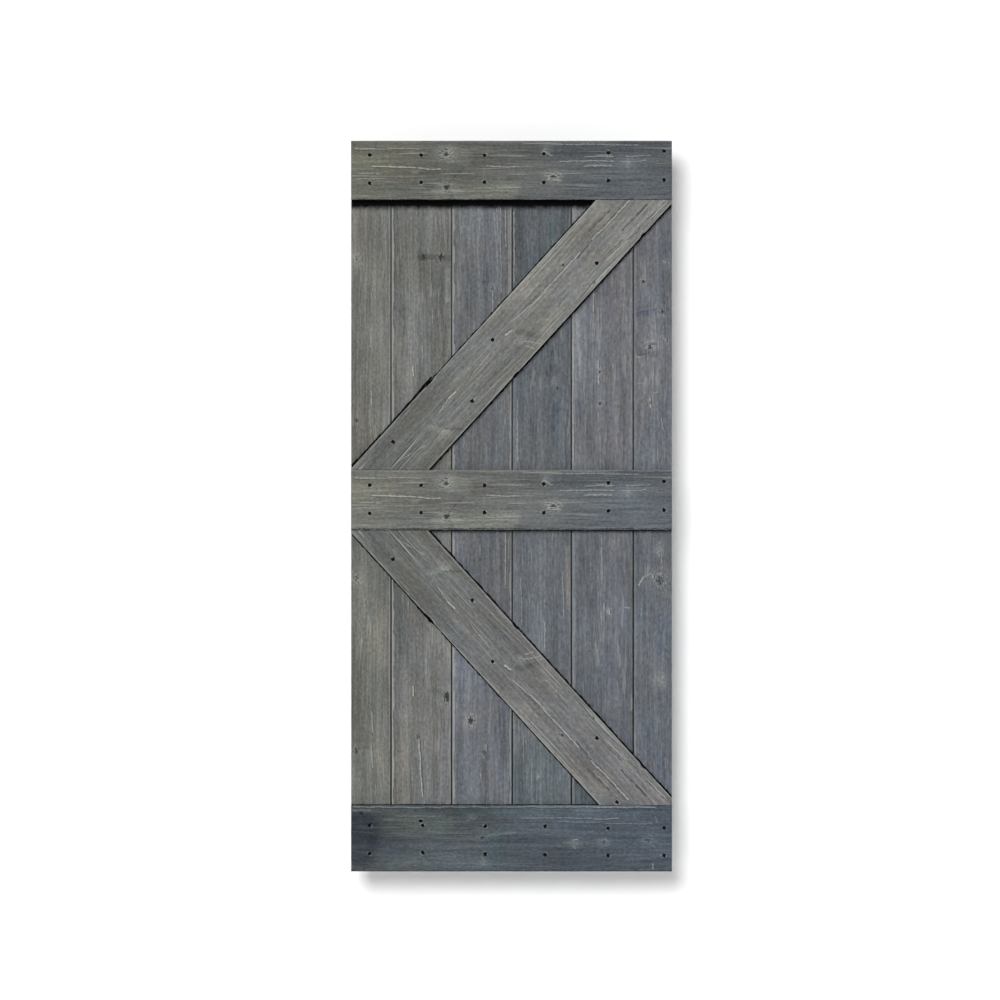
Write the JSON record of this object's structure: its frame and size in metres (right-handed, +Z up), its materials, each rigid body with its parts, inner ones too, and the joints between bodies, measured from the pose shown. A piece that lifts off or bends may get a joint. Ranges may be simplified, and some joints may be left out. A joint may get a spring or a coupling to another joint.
{
  "type": "barn door",
  "caption": "Sliding barn door leaf of upright tongue-and-groove pine boards with rails and mirrored diagonal braces screwed to the front.",
  "frame": {"origin": "centre of the top rail's front face, where the hanger straps bolt on", "axes": "+Z up along the boards, -Y out of the braced front, +X to the right seen from the front"},
  "size_m": [0.937, 0.038, 2.134],
  "materials": {
    "panel_boards": "weathered grey pine, matte",
    "rails": "weathered grey pine, matte",
    "braces": "weathered grey pine, matte",
    "screws": "black phosphate"
  },
  "bodies": {
    "root": {"left_edge_board": "panel_boards", "second_board": "panel_boards", "third_board": "panel_boards", "fourth_board": "panel_boards", "fifth_board": "panel_boards", "right_edge_board": "panel_boards", "top_rail": "rails", "middle_rail": "rails", "bottom_rail": "rails", "upper_brace": "braces", "lower_brace": "braces"}
  },
  "joints": []
}
